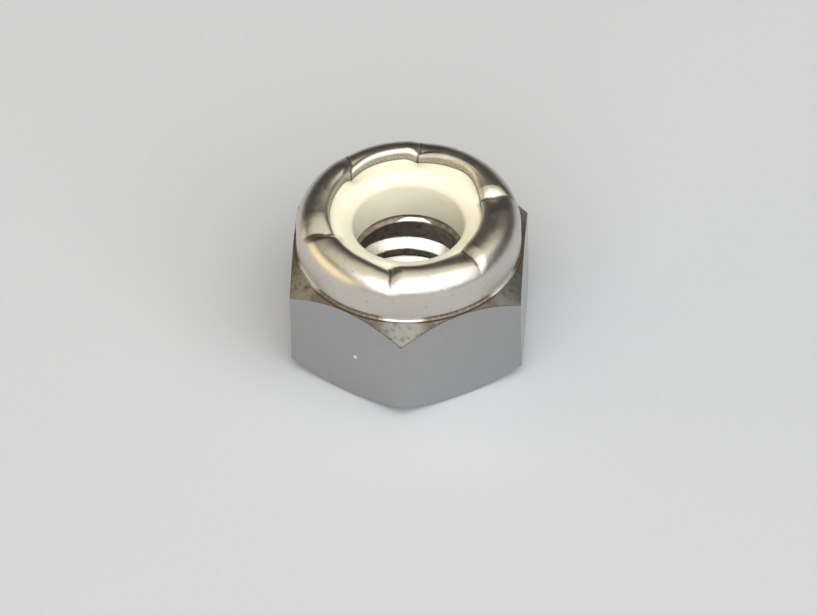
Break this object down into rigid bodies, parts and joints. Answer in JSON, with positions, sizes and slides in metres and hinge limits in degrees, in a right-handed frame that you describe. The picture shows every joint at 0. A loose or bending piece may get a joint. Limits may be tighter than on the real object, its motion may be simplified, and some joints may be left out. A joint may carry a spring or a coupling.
{
  "type": "hex lock nut",
  "caption": "Steel hex nut with a rolled collar staked over an ivory plastic ring that grips the bolt's thread.",
  "frame": {"origin": "centre of the bearing face", "axes": "+Z along the thread axis from the bearing face to the collar, one corner of the hexagon on -Y"},
  "size_m": [0.0112, 0.0128, 0.0078],
  "materials": {
    "steel": "polished collar and flats, satin turned chamfers",
    "nylon": "smooth moulded, soft gloss"
  },
  "bodies": {
    "root": {"nut_body": "steel", "nylon_insert": "nylon"}
  },
  "joints": []
}
